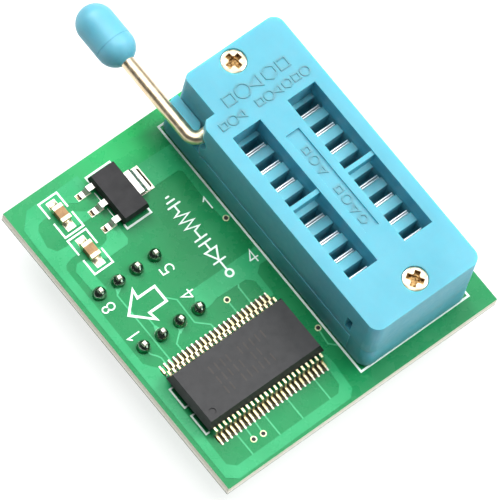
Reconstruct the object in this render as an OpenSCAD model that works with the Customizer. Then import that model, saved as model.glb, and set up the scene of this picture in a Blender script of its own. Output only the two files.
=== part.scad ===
// Plug-in level-shifting adapter board for a chip programmer: a small circuit
// board with a lever-operated 16-contact zero-insertion-force socket, one wide
// buffer chip, one regulator, two capacitors and an 8-pin plug underneath.
// Origin: centre of the 8 plug pins, on the face where the plug strips seat.
// +X runs across the socket, +Y towards its lever end, +Z up. Millimetres.

/* [Board] */
// Board size across the socket
board_w = 37.5; // [37:0.1:40]
// Board size along the socket
board_l = 39.3; // [39:0.1:42]
// Board thickness
board_t = 1.6; // [1.5:0.1:2]
// Distance from the plug centre to the board's left edge
board_left = 6.5; // [6:0.1:8]
// Distance from the plug centre to the board's front edge
board_front = 22; // [21.5:0.1:23]

/* [Plug] */
// Pin pitch of every 0.1 inch part
pitch = 2.54; // [2.54:0.01:2.54]
// Distance between the two rows of pins, on the plug and on the socket
row_gap = 7.62; // [7.62:0.01:7.62]
// Height of the black plug strips
strip_h = 2.54; // [2.5:0.01:3]
// Length of a plug pin below its strip
plug_pin_l = 3.2; // [2.8:0.1:4]
// Radius of a plug pin
plug_pin_r = 0.25; // [0.22:0.01:0.3]

/* [Socket] */
// Socket width
socket_w = 14.85; // [14.6:0.05:15]
// Socket length
socket_l = 35.6; // [35:0.1:36]
// Height of the socket's top face above the board
socket_h = 10.5; // [10:0.1:11.5]
// Height of the line between base and cover above the board
parting_h = 4.05; // [3.8:0.05:4.2]
// Radius of the socket's upright corners
socket_corner_r = 1.3; // [0.8:0.1:1.6]
// Contacts in each row of the socket
row_contacts = 8; // [8:1:8]
// Thickness of the sliding comb
comb_t = 1.1; // [0.9:0.05:1.15]
// Width of a comb slot along the row
slot_w = 1.45; // [1.3:0.05:1.5]
// Length of a comb slot across the row
slot_l = 3.9; // [3.6:0.1:4]
// Travel of the comb from closed to open
comb_travel = 0.6; // [0.4:0.05:0.6]

/* [Lever] */
// Radius of the lever wire
wire_r = 0.78; // [0.7:0.01:0.78]
// Inside-to-centre radius of the wire's bend
bend_r = 1.2; // [1.1:0.05:1.3]
// Height of the lever shaft above the board
shaft_h = 6.7; // [6.6:0.05:6.8]
// Distance from the shaft to the middle of the knob
knob_reach = 15.4; // [14:0.1:17]
// Largest radius of the knob
knob_r = 2.25; // [2:0.05:2.5]
// Length of the knob
knob_l = 7.9; // [7:0.1:9]

/* [Chips] */
// Length of the wide chip's body
chip_l = 15.9; // [15.8:0.1:16]
// Width of the wide chip's body
chip_w = 7.5; // [7.4:0.1:7.6]
// Height of the wide chip above the board
chip_h = 2.4; // [2.2:0.1:2.6]
// Leads on each side of the wide chip
chip_side_leads = 24; // [20:1:24]
// Lead pitch of the wide chip
chip_pitch = 0.635; // [0.6:0.005:0.635]
// Height of the regulator above the board
regulator_h = 1.65; // [1.5:0.05:1.8]

/* [Hidden] */
$fn = 64;
board_x = -board_left;
board_y = -board_front;
board_z = strip_h;
top = strip_h + board_t;
row_half = row_gap / 2;

plug_cols = 4;
plug_strip_w = 2.5;
tail_r = 0.25;
tail_rise = 1.3;
joint_r = 0.8;
joint_h = 1.02;

// Socket: centre of its outline, centre of its two rows, heights above the board
socket_x = 21.22;
socket_y = -2.08;
socket_x0 = socket_x - socket_w / 2;
socket_x1 = socket_x + socket_w / 2;
socket_y0 = socket_y - socket_l / 2;
socket_y1 = socket_y + socket_l / 2;
row_y = -3.2;
standoff = 0.25;
window_w = 3.84;
window_l = 20.22;
cavity_half_w = 6.35;
cavity_y0 = -15;
cavity_y1 = 8.7;
comb_half_w = 6.25;
comb_y0 = -14.2;
comb_z = top + parting_h + 2.25;
island_half_w = 6.1;
island_y0 = -14.5;
island_y1 = 7.1;
island_z = comb_z - 0.05;
roof_z = comb_z + comb_t + 0.05;
slot_back = 0.68;
rib_w = 0.55;
rib_drop = 0.25;
leaf_t = 0.2;
leaf_gap = 0.07;
slot_sink = 2.4;
label_sink = 0.25;
tip_w = 3.4;
screw_x = 21.3;
screw_ys = [-17.35, 13.93];
screw_head_r = 1.45;
screw_shank_r = 0.8;
screw_sink = 0.95;

// Notch beside the lever, and the corner cut that clears the upright wire
notch_x1 = 15.7;
notch_y0 = 10.27;
cut_x = 14.5;
cut_y = 9.4;
ledge_h = 5.65;
ledge_y0 = 11.2;

// Lever: the shaft runs along X, the wire runs beside the socket
shaft_y = 10.05;
shaft_z = top + shaft_h;
wire_x = 13.22;
shaft_x0 = wire_x + bend_r;
shaft_x1 = 27.4;
bearing_r = wire_r + 0.05;
relief_r = 1.35;
knob_y = shaft_y + knob_reach;
knob_end = 1.6;
cam_r = 1.4;
cam_x0 = 18.9;
cam_x1 = 23.5;
cam_gap = 0.2;
yoke_x0 = 18.2;
yoke_x1 = 24.2;
yoke_y0 = shaft_y - cam_r - cam_gap;
yoke_y1 = shaft_y + cam_r + cam_gap;
chamber_x0 = 16.7;
chamber_x1 = 26;
chamber_y1 = 12.4;
chamber_h = 9;

// Wide chip
chip_x = 3.5;
chip_y = -12.1;
chip_clear = 0.1;
chip_mid = 1.2;
chip_draft = 0.42;
lead_t = 0.16;
lead_w = 0.26;
lead_span = 10.3;

// Regulator and capacitors
regulator_x = 4.95;
regulator_y = 11.7;
regulator_w = 3.5;
regulator_l = 6.5;
regulator_pitch = 2.3;
capacitors = [[-1.5, 13.5], [-1.55, 8.3]];
cap_l = 2;
cap_w = 1.25;
cap_h = 0.9;
cap_end = 0.45;

vias = [[-0.75, -19.1], [0.5, -19.2], [13, -13.15], [7, -4.8], [12.9, 2.75]];
via_r = 0.2;
via_pad_r = 0.38;

contact_count = 2 * row_contacts;

// Places of the plug pins, numbered round the plug as on an 8-pin package
function pin_x(k) = (k <= plug_cols ? k - (plug_cols + 1) / 2
                                    : (3 * plug_cols + 1) / 2 - k) * pitch;
function pin_y(k) = k <= plug_cols ? -row_half : row_half;

// Places of the socket contacts: 1 to 8 down the left row, 9 to 16 up the right
function contact_row(k) = k <= row_contacts ? k : contact_count + 1 - k;
function contact_x(k) = socket_x + (k <= row_contacts ? -row_half : row_half);
function contact_y(k) = row_y + ((row_contacts + 1) / 2 - contact_row(k)) * pitch;

// Block between two corners
module block(a, b) {
    translate(a) cube(b - a);
}

// Upright block with round corners
module round_block(x0, y0, z0, x1, y1, z1, r) {
    for (x = [x0 + r, x1 - r], y = [y0 + r, y1 - r])
        translate([x, y, z0]) cylinder(r = r, h = z1 - z0);
    block([x0 + r, y0, z0], [x1 - r, y1, z1]);
    block([x0, y0 + r, z0], [x1, y1 - r, z1]);
}

// Cylinder along +X from x0 to x1
module x_rod(x0, x1, y, z, r) {
    translate([x0, y, z]) rotate([0, 90, 0]) cylinder(r = r, h = x1 - x0);
}

module circuit_board() {
    color("seagreen") difference() {
        block([board_x, board_y, board_z],
              [board_x + board_w, board_y + board_l, top]);
        for (k = [1 : 2 * plug_cols])
            translate([pin_x(k), pin_y(k), board_z - 1]) cylinder(r = 0.45, h = 4);
        for (k = [1 : contact_count])
            translate([contact_x(k), contact_y(k), board_z - 1]) cylinder(r = 0.45, h = 4);
        for (v = vias)
            translate([v.x, v.y, board_z - 1]) cylinder(r = via_r + 0.06, h = 4);
    }
}

// Plated holes with a flat ring on each face of the board
module via_barrels() {
    ring_t = 0.04;
    color("gold") for (v = vias) translate([v.x, v.y, 0]) rotate_extrude()
        polygon([[via_r, board_z - ring_t], [via_pad_r, board_z - ring_t],
                 [via_pad_r, board_z], [via_r + 0.06, board_z],
                 [via_r + 0.06, top], [via_pad_r, top],
                 [via_pad_r, top + ring_t], [via_r, top + ring_t]]);
}

// Four-pin strip of the plug, waisted between the pins
module plug_strip(y) {
    notch = 0.28;
    half_w = plug_strip_w / 2;
    color("dimgray") difference() {
        block([-plug_cols * pitch / 2, y - half_w, 0],
              [plug_cols * pitch / 2, y + half_w, strip_h]);
        for (i = [-plug_cols / 2 : plug_cols / 2], s = [-1, 1])
            translate([i * pitch, y + s * half_w, -1]) rotate(45)
                translate([-notch, -notch, 0]) cube([2 * notch, 2 * notch, strip_h + 2]);
        for (i = [0 : plug_cols - 1])
            translate([(i - (plug_cols - 1) / 2) * pitch, y, -1])
                cylinder(r = 0.65, h = strip_h + 2);
    }
}

// Turned pin: plug end below, shoulder in the strip, solder tail above
module plug_pin(k) {
    tip = 0.12;
    color("gold") translate([pin_x(k), pin_y(k), 0]) rotate_extrude()
        polygon([[0, -plug_pin_l], [plug_pin_r - tip, -plug_pin_l],
                 [plug_pin_r, -plug_pin_l + 2 * tip], [plug_pin_r, 0],
                 [0.65, 0], [0.65, strip_h - 0.1], [tail_r, strip_h - 0.1],
                 [tail_r, top + tail_rise - 0.06],
                 [tail_r - 0.06, top + tail_rise], [0, top + tail_rise]]);
}

// Solder cones round the pin tails on top of the board
module plug_solder_joints() {
    color("silver") for (k = [1 : 2 * plug_cols])
        translate([pin_x(k), pin_y(k), top]) rotate_extrude()
            polygon([[tail_r, 0], [joint_r, 0], [joint_r - 0.03, 0.14],
                     [0.66, 0.36], [0.5, 0.58], [0.38, 0.8],
                     [0.31, joint_h - 0.05], [tail_r, joint_h]]);
}

module socket_base() {
    part_z = top + parting_h;
    pad_t = 0.1;
    pad_r = 0.8;
    pad_y1 = 9.2;
    end_r = 0.8;
    end_x = notch_x1 - 0.05 - end_r;
    color("mediumturquoise") difference() {
        union() {
            round_block(socket_x0, socket_y0, top + standoff,
                        socket_x1, socket_y1, part_z, socket_corner_r);
            // Feet, and the long raised pad on the lever side
            for (x = [socket_x0 + 2, socket_x1 - 2], y = [socket_y0 + 2, socket_y1 - 2])
                translate([x, y, top]) cylinder(r = 1, h = 1);
            block([socket_x0 - pad_t, -16.8, top + 0.6],
                  [socket_x0 + 1, pad_y1 - pad_r, part_z]);
            block([socket_x0 - pad_t, pad_y1 - pad_r, top + 0.6],
                  [socket_x0 + 1, pad_y1, part_z - pad_r]);
            x_rod(socket_x0 - pad_t, socket_x0 + 1, pad_y1 - pad_r, part_z - pad_r, pad_r);
            // Island that carries the comb
            block([socket_x - island_half_w, island_y0, part_z - 1],
                  [socket_x + island_half_w, island_y1, island_z]);
            // Ledge in the notch, with a round end
            intersection() {
                round_block(socket_x0, socket_y0, part_z - 1,
                            socket_x1, socket_y1, top + ledge_h, socket_corner_r);
                union() {
                    block([socket_x0, ledge_y0 + end_r, part_z - 1],
                          [end_x + end_r, socket_y1, top + ledge_h]);
                    block([socket_x0, ledge_y0, part_z - 1],
                          [end_x, ledge_y0 + end_r, top + ledge_h]);
                    translate([end_x, ledge_y0 + end_r, part_z - 1])
                        cylinder(r = end_r, h = top + ledge_h - part_z + 1);
                }
            }
        }
        for (k = [1 : contact_count]) translate([contact_x(k), contact_y(k), 0]) {
            // Pocket for the contact's leaves, and the gap where its tip comes up
            block([-tip_w / 2 - 0.05, -0.78, top + 1], [tip_w / 2 + 0.05, 0.25, island_z - 1]);
            block([-tip_w / 2 - 0.05, -0.78, top + 2], [tip_w / 2 + 0.05, -0.05, island_z + 1]);
            // Deep cavity under the rest of the comb's slot
            block([-slot_l / 2 - 0.05, -0.1, island_z - slot_sink],
                  [slot_l / 2 + 0.05, slot_back + 0.05, island_z + 1]);
            block([-0.35, -0.78, top - 1], [0.35, 0.25, top + 2]);
        }
        for (y = screw_ys) translate([screw_x, y, top + 1.2])
            cylinder(r = screw_shank_r, h = socket_h);
    }
}

// Outline of the cover seen from above, with the notch and the corner cut
module cover_outline() {
    difference() {
        union() {
            for (x = [socket_x0, socket_x1 - 2 * socket_corner_r],
                 y = [socket_y0, socket_y1 - 2 * socket_corner_r])
                translate([x + socket_corner_r, y + socket_corner_r])
                    circle(r = socket_corner_r);
            translate([socket_x0 + socket_corner_r, socket_y0])
                square([socket_w - 2 * socket_corner_r, socket_l]);
            translate([socket_x0, socket_y0 + socket_corner_r])
                square([socket_w, socket_l - 2 * socket_corner_r]);
        }
        polygon([[socket_x0 - 1, cut_y - 1], [socket_x0 - 0.6, cut_y - 0.73],
                 [socket_x0, cut_y], [cut_x, notch_y0], [notch_x1, notch_y0],
                 [notch_x1, socket_y1 - 0.75],
                 for (a = [0 : 15 : 90])
                     [notch_x1 + 0.75 * (1 - cos(a)), socket_y1 - 0.75 * (1 - sin(a))],
                 [notch_x1 + 0.75, socket_y1 + 1], [socket_x0 - 1, socket_y1 + 1]]);
    }
}

module socket_cover() {
    z0 = top + parting_h;
    z1 = top + socket_h;
    window_y = row_y - window_l / 2;
    color("paleturquoise") difference() {
        translate([0, 0, z0]) linear_extrude(z1 - z0) cover_outline();
        // Room for the island and the comb
        block([socket_x - cavity_half_w, cavity_y0, z0 - 1],
              [socket_x + cavity_half_w, cavity_y1, roof_z]);
        // Room for the cam
        block([chamber_x0, cavity_y1 - 1, z0 - 1],
              [chamber_x1, chamber_y1, top + chamber_h]);
        // Bearings for the lever shaft, and the relief round its bend
        x_rod(socket_x0 - 1, shaft_x1 + 0.3, shaft_y, shaft_z, bearing_r);
        x_rod(socket_x0 - 1, shaft_x0 + 0.3, shaft_y, shaft_z, relief_r);
        // Windows, each crossed by a rib
        for (s = [-1, 1]) {
            x = socket_x + s * row_half - window_w / 2;
            for (part = [[0, window_l / 2 - rib_w / 2],
                         [window_l / 2 + rib_w / 2, window_l]])
                block([x, window_y + part[0], roof_z - 1],
                      [x + window_w, window_y + part[1], z1 + 1]);
            block([x, row_y - 1, z1 - rib_drop], [x + window_w, row_y + 1, z1 + 1]);
            block([x, row_y - 1, roof_z - 1], [x + window_w, row_y + 1, z1 - 1.6]);
        }
        // Shallow label recess, left blank
        block([socket_x - 0.9, -10.1, z1 - label_sink], [socket_x + 0.9, 3.72, z1 + 1]);
        // Latch pocket on the lever side
        block([socket_x0 - 1, -16.6, top + 4.9], [socket_x0 + 0.8, -15.7, top + 7.2]);
        for (y = screw_ys) translate([screw_x, y, 0]) {
            translate([0, 0, z0 - 1]) cylinder(r = 1, h = socket_h);
            translate([0, 0, z1 - screw_sink]) cylinder(r = screw_head_r + 0.05, h = 2);
        }
    }
}

module socket_comb() {
    z1 = comb_z + comb_t;
    floor_z = top + parting_h + 0.1;
    floor_t = 0.95;
    color("skyblue") difference() {
        union() {
            block([socket_x - comb_half_w, comb_y0, comb_z],
                  [socket_x + comb_half_w, yoke_y0, z1]);
            // Yoke that reaches under the shaft and behind the cam
            block([yoke_x0, yoke_y0 - 0.5, floor_z], [yoke_x1, yoke_y0, z1]);
            block([yoke_x0, yoke_y0 - 0.5, floor_z],
                  [yoke_x1, yoke_y1 + 0.6, floor_z + floor_t]);
            block([yoke_x0, yoke_y1, floor_z], [yoke_x1, yoke_y1 + 0.6, z1 + 0.3]);
        }
        for (k = [1 : contact_count]) translate([contact_x(k), contact_y(k), 0])
            block([-slot_l / 2, slot_back - slot_w, comb_z - 1],
                  [slot_l / 2, slot_back, z1 + 1]);
    }
}

// Contact: two leaves pinched together by the closed comb, bridge and solder tail
module socket_contact(k) {
    y0 = slot_back - slot_w + 0.05;
    leaf_z = top + 1.1;
    tip_z = comb_z + comb_t - leaf_t / 2;
    color("silver") translate([contact_x(k), contact_y(k), 0]) {
        for (y = [y0, y0 + leaf_t + leaf_gap]) {
            block([-tip_w / 2, y, leaf_z], [tip_w / 2, y + leaf_t, tip_z]);
            x_rod(-tip_w / 2, tip_w / 2, y + leaf_t / 2, tip_z, leaf_t / 2);
        }
        block([-1, y0 + leaf_t, leaf_z], [1, 0.2, leaf_z + 0.3]);
        block([-0.25, -0.15, strip_h - 1.1], [0.25, 0.15, leaf_z + 0.2]);
    }
}

module socket_solder_joints() {
    color("silver") for (k = [1 : contact_count])
        translate([contact_x(k), contact_y(k), board_z]) difference() {
            rotate_extrude() polygon([[0, 0], [0.85, 0], [0.8, -0.15], [0.5, -0.45],
                                      [0.38, -0.8], [0.3, -0.9], [0, -0.9]]);
            block([-0.25, -0.15, -2], [0.25, 0.15, 1]);
        }
}

// Cross-headed screw, head down in the cover; the cross lies at an angle of turn
module cover_screw(y, turn) {
    z = top + socket_h - 0.04;
    head_t = screw_sink - 0.04;
    arm_l = 2;
    arm_w = 0.68;
    pit_r = 0.58;
    color("khaki") translate([screw_x, y, z]) difference() {
        rotate_extrude() polygon([[0, 0], [1.25, 0], [screw_head_r - 0.05, -0.06],
                                  [screw_head_r, -0.18], [screw_head_r, -head_t],
                                  [screw_shank_r, -head_t], [screw_shank_r, -8.6],
                                  [0.5, -9], [0, -9]]);
        for (a = [turn, turn + 90]) rotate(a)
            translate([-arm_l / 2, -arm_w / 2, -0.55]) cube([arm_l, arm_w, 1]);
        translate([0, 0, -0.75]) cylinder(r = pit_r, h = 1);
    }
}

module lever_wire() {
    wire_end = knob_y + knob_l / 2 - knob_end;
    color("silver") {
        x_rod(shaft_x0, shaft_x1, shaft_y, shaft_z, wire_r);
        translate([shaft_x0, shaft_y + bend_r, shaft_z]) rotate([0, 0, 180])
            rotate_extrude(angle = 90) translate([bend_r, 0]) circle(r = wire_r);
        translate([wire_x, shaft_y + bend_r, shaft_z]) rotate([-90, 0, 0])
            cylinder(r = wire_r, h = wire_end - shaft_y - bend_r);
    }
}

// Capsule-shaped knob moulded on the wire's end, flat where the wire enters
module lever_knob() {
    flat = 0.15;
    seam_t = 0.05;
    seam_y = 2.6 - knob_l / 2;
    reach = knob_l / 2 - knob_r;
    color("lightskyblue") translate([wire_x, knob_y, shaft_z]) rotate([-90, 0, 0])
        rotate_extrude() difference() {
            union() {
                for (y = [-reach, reach]) translate([0, y]) circle(r = knob_r);
                translate([-knob_r, -reach]) square([2 * knob_r, 2 * reach]);
            }
            translate([-2 * knob_r, -knob_l]) square([2 * knob_r, 2 * knob_l]);
            translate([-knob_r, -knob_l / 2 - 1]) square([2 * knob_r, 1 + flat]);
            translate([-1, -knob_l]) square([1 + wire_r, 1.5 * knob_l - knob_end]);
            // Fine seam groove round the wire end
            translate([knob_r - seam_t, seam_y]) square([1, seam_t]);
        }
}

// Eccentric sleeve fixed on the shaft, lobe up when the lever is closed
module lever_cam() {
    color("white") difference() {
        x_rod(cam_x0, cam_x1, shaft_y, shaft_z + comb_travel, cam_r);
        x_rod(cam_x0 - 1, cam_x1 + 1, shaft_y, shaft_z, wire_r);
    }
}

// Profile of a moulded package: widest at height mid, drafted up and down
module package_profile(span, z0, mid, z1, draft) {
    half = span / 2;
    polygon([[-half, mid], [-half + draft, z0], [half - draft, z0],
             [half, mid], [half - draft, z1], [-half + draft, z1]]);
}

// Body of a moulded package, drafted on all four sides
module moulded_body(l, w, z0, mid, z1, draft) {
    intersection() {
        rotate([90, 0, 0]) linear_extrude(w, center = true)
            package_profile(l, z0, mid, z1, draft);
        rotate([90, 0, 90]) linear_extrude(l, center = true)
            package_profile(w, z0, mid, z1, draft);
    }
}

module wide_chip_body() {
    color("dimgray") translate([chip_x, chip_y, top]) difference() {
        moulded_body(chip_l, chip_w, chip_clear, chip_mid, chip_h, chip_draft);
        translate([-chip_l / 2 + 1.25, -chip_w / 2 + 1.3, chip_h - 0.1])
            cylinder(r = 0.42, h = 1);
    }
}

// Gull-wing profile in the YZ plane from reach y0 to y1, shoulder at height z
module gull_wing(y0, y1, z, t, foot) {
    knee = y1 - foot;
    polygon([[y0, z], [knee - 0.25, z], [knee - 0.05, t], [y1, t], [y1, 0],
             [knee - 0.15, 0], [knee - 0.38, z - t], [y0, z - t]]);
}

// One gull-wing lead of width w that runs along +Y
module lead(y0, y1, z, t, w, foot) {
    rotate([90, 0, 90]) translate([0, 0, -w / 2]) linear_extrude(w)
        gull_wing(y0, y1, z, t, foot);
}

module wide_chip_leads(side) {
    color("silver") for (i = [0 : chip_side_leads - 1])
        translate([chip_x + (i - (chip_side_leads - 1) / 2) * chip_pitch, chip_y, top])
            rotate(side > 0 ? 0 : 180)
                lead(chip_w / 2 - 0.02, lead_span / 2, chip_mid + lead_t / 2,
                     lead_t, lead_w, 0.62);
}

module regulator_body() {
    color("dimgray") translate([regulator_x, regulator_y, top])
        moulded_body(regulator_w, regulator_l, 0.06, 0.8, regulator_h, 0.2);
}

module regulator_leg(i) {
    color("silver") translate([regulator_x, regulator_y + (2 - i) * regulator_pitch, top])
        rotate(90) lead(regulator_w / 2 - 0.02, 3.45, 0.93, 0.26, 0.72, 0.85);
}

module regulator_tab() {
    color("silver") translate([regulator_x, regulator_y, top])
        rotate(-90) lead(regulator_w / 2 - 0.02, 3.45, 0.93, 0.26, 3, 0.85);
}

module capacitor_body(i) {
    color("tan") translate([capacitors[i].x, capacitors[i].y, top])
        block([-cap_w / 2 + 0.02, -cap_l / 2 + cap_end, 0.03],
              [cap_w / 2 - 0.02, cap_l / 2 - cap_end, cap_h - 0.02]);
}

module capacitor_terminals(i) {
    color("silver") translate([capacitors[i].x, capacitors[i].y, top])
        for (s = [-1, 1]) translate([0, s * (cap_l - cap_end) / 2, 0])
            block([-cap_w / 2, -cap_end / 2, 0.01], [cap_w / 2, cap_end / 2, cap_h]);
}

circuit_board();
via_barrels();
plug_strip(-row_half);  // plug_strip_front
plug_strip(row_half);  // plug_strip_rear
for (k = [1 : 2 * plug_cols])
    plug_pin(k);
plug_solder_joints();
socket_base();
socket_cover();
socket_comb();
cover_screw(screw_ys[0], 33);  // cover_screw_front
cover_screw(screw_ys[1], 10);  // cover_screw_rear
lever_wire();
lever_knob();
lever_cam();
for (k = [1 : contact_count])
    socket_contact(k);
socket_solder_joints();
wide_chip_body();
wide_chip_leads(-1);  // wide_chip_leads_front
wide_chip_leads(1);  // wide_chip_leads_rear
regulator_body();
for (i = [1 : 3])
    regulator_leg(i);
regulator_tab();
for (i = [1 : 2]) {
    capacitor_body(i - 1);
    capacitor_terminals(i - 1);
}
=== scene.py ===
import math
import random

import bmesh
import bpy
from mathutils import Matrix, Vector


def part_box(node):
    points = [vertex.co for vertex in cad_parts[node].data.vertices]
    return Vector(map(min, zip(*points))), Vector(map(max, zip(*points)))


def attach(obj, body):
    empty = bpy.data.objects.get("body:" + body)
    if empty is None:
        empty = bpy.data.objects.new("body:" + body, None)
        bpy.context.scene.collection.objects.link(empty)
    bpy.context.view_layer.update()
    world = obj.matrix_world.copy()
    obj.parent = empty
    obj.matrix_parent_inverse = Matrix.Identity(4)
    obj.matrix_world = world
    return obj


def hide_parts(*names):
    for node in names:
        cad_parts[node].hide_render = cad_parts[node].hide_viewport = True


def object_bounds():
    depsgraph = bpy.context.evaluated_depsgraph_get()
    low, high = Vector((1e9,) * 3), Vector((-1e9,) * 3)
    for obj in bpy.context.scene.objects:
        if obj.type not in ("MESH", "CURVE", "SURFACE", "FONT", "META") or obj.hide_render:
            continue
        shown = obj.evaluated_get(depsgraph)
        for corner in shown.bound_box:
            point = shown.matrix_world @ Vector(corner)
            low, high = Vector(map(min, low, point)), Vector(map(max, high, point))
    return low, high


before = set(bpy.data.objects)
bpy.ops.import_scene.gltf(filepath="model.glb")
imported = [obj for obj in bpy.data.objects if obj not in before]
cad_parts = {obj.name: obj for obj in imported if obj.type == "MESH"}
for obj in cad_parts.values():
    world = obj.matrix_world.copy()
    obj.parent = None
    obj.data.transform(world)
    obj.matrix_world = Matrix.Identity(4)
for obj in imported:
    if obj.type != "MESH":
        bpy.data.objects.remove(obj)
cad_bounds = [list(corner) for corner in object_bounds()]

# Lengths below are millimetres in the frame's axes. MM turns them into metres.
MM = 0.001
random.seed(7)


# ---------------------------------------------------------------- places taken from the frame

def box(node):
    """Lowest and highest corner of a CAD node, in millimetres."""
    low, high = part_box(node)
    return low / MM, high / MM


def middle(node):
    """Middle of a CAD node's box, in millimetres."""
    low, high = box(node)
    return (low + high) / 2


def solids(node):
    """Boxes of the separate solids in a node: faces that share a corner's place belong together."""
    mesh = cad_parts[node].data
    leader = {}

    def find(key):
        while leader[key] != key:
            key = leader[key]
        return key

    keys = [tuple(round(c / MM, 3) for c in vertex.co) for vertex in mesh.vertices]
    for key in keys:
        leader.setdefault(key, key)
    for polygon in mesh.polygons:
        corners = [find(keys[i]) for i in polygon.vertices]
        for corner in corners[1:]:
            leader[find(corner)] = find(corners[0])
    groups = {}
    for key in leader:
        groups.setdefault(find(key), []).append(Vector(key))
    boxes = []
    for group in groups.values():
        low = Vector([min(p[axis] for p in group) for axis in range(3)])
        high = Vector([max(p[axis] for p in group) for axis in range(3)])
        boxes.append((low, high))
    return sorted(boxes, key=lambda pair: tuple(pair[0]))


BOARD_LOW, BOARD_HIGH = box("circuit_board")
TOP = BOARD_HIGH.z
UNDER = BOARD_LOW.z
SOCKET_LOW, SOCKET_HIGH = box("socket_base")
COVER_TOP = box("socket_cover")[1].z
CHIP_LOW, CHIP_HIGH = box("wide_chip_body")
PLUG_PINS = ["plug_pin_%d" % k for k in range(1, 9)]
CONTACTS = ["socket_contact_%d" % k for k in range(1, 17)]
CAPACITORS = ["capacitor_1", "capacitor_2"]
REGULATOR_LEGS = ["regulator_leg_%d" % k for k in range(1, 4)]

# How far printing and plating stand above the board, and how deep their undersides sink in it
COPPER_RISE = 0.03
INK_RISE = 0.045
PAD_RISE = 0.05
LAMINATE_RISE = 0.004
SUNK = 0.02
# Offset that keeps two crossing faces from coinciding
HAIR = 0.0002
# Radii of the round pads, of the hole in them and of the dark plug in a via, which paints the hole's shade
PIN_PAD = 0.78
CONTACT_PAD = 0.8
PAD_HOLE = 0.3
VIA_SHADE = 0.24
# Widths of the traces and of the printed lines
TRACE = 0.18
SOCKET_LINE = 0.25
REGULATOR_LINE = 0.24
PART_LINE = 0.22
LEG_MARK = 0.12
ARROW_LINE = 0.3
DIGIT_LINE = 0.17

# A pigment's colour as a share of what it shows under the bright studio light
PIGMENT_DEPTH = 0.65


# ---------------------------------------------------------------- mesh helpers

def make_object(name, bm, material, body="board", smooth=False):
    """Turns a bmesh in millimetres into a piece that rides on a body."""
    bmesh.ops.recalc_face_normals(bm, faces=bm.faces)
    for face in bm.faces:
        face.smooth = smooth
    bm.transform(Matrix.Scale(MM, 4))
    mesh = bpy.data.meshes.new(name)
    bm.to_mesh(mesh)
    bm.free()
    mesh.materials.append(material)
    piece = bpy.data.objects.new(name, mesh)
    bpy.context.scene.collection.objects.link(piece)
    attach(piece, body)
    return piece


def outline(points):
    """A flat shape with one closed outline."""
    return points, [list(range(len(points)))]


def rectangle(low, high):
    """A flat rectangle between two corners."""
    return outline([(low[0], low[1]), (high[0], low[1]), (high[0], high[1]), (low[0], high[1])])


def ring(centre, outer, inner=0.0, steps=28):
    """A flat disc, or a ring if inner is more than 0."""
    turns = [math.tau * k / steps for k in range(steps)]
    rim = [(centre[0] + outer * math.cos(a), centre[1] + outer * math.sin(a)) for a in turns]
    if not inner:
        return outline(rim)
    hole = [(centre[0] + inner * math.cos(a), centre[1] + inner * math.sin(a)) for a in turns]
    quads = [[k, (k + 1) % steps, steps + (k + 1) % steps, steps + k] for k in range(steps)]
    return rim + hole, quads


def stroke(points, width, closed=False, caps=True):
    """A flat line of one width along points, mitred at its corners and round at its ends."""
    path = [Vector(p) for p in points]
    count = len(path)
    verts, faces = [], []
    for k, here in enumerate(path):
        before = path[k - 1] if closed or k else None
        after = path[(k + 1) % count] if closed or k < count - 1 else None
        into = (here - before).normalized() if before is not None else (after - here).normalized()
        out = (after - here).normalized() if after is not None else into
        side = (into + out).normalized()
        across = Vector((-side.y, side.x))
        stretch = 1 / max(0.4, across.dot(Vector((-into.y, into.x))))
        verts.append(here + across * width / 2 * stretch)
        verts.append(here - across * width / 2 * stretch)
    for k in range(count if closed else count - 1):
        after = (k + 1) % count
        faces.append([2 * k, 2 * k + 1, 2 * after + 1, 2 * after])
    if caps and not closed:
        for end, neighbour, left, right in ((0, 1, 0, 1), (-1, -2, 2 * count - 1, 2 * count - 2)):
            centre = path[end]
            away = (centre - path[neighbour]).normalized()
            start = math.atan2(away.y, away.x) + math.pi / 2
            bend = [start - math.pi * k / 6 for k in range(1, 6)]
            first = len(verts)
            verts += [centre + Vector((math.cos(a), math.sin(a))) * width / 2 for a in bend]
            faces.append([right] + list(range(first, first + 5)) + [left])
    return [tuple(v) for v in verts], faces


def arc(centre, radius, start, end, steps=14):
    """Points on a circle from one angle to another, in degrees."""
    angles = [math.radians(start + (end - start) * k / steps) for k in range(steps + 1)]
    return [(centre[0] + radius * math.cos(a), centre[1] + radius * math.sin(a)) for a in angles]


def add_slab(bm, shape, low, high):
    """Adds a flat shape with a thickness from low to high."""
    points, faces = shape
    verts = [bm.verts.new((x, y, low)) for x, y in points]
    made = [bm.faces.new([verts[i] for i in face]) for face in faces]
    raised = bmesh.ops.extrude_face_region(bm, geom=made)["geom"]
    for item in raised:
        if isinstance(item, bmesh.types.BMVert):
            item.co.z = high


def flat_piece(name, shapes, low, high, material):
    """One piece made of flat shapes. Each is a hair thicker than the last, so that where they
    cross, their faces don't coincide."""
    bm = bmesh.new()
    for k, shape in enumerate(shapes):
        add_slab(bm, shape, low - HAIR * k, high + HAIR * k)
    return make_object(name, bm, material)


def add_skin(bm, rows):
    """Joins closed rows of corners, each to the next, and closes both ends."""
    count = len(rows[0])
    for near, far in zip(rows, rows[1:]):
        for k in range(count):
            after = (k + 1) % count
            bm.faces.new((near[k], near[after], far[after], far[k]))
    bm.faces.new(rows[0])
    bm.faces.new(rows[-1])


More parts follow.
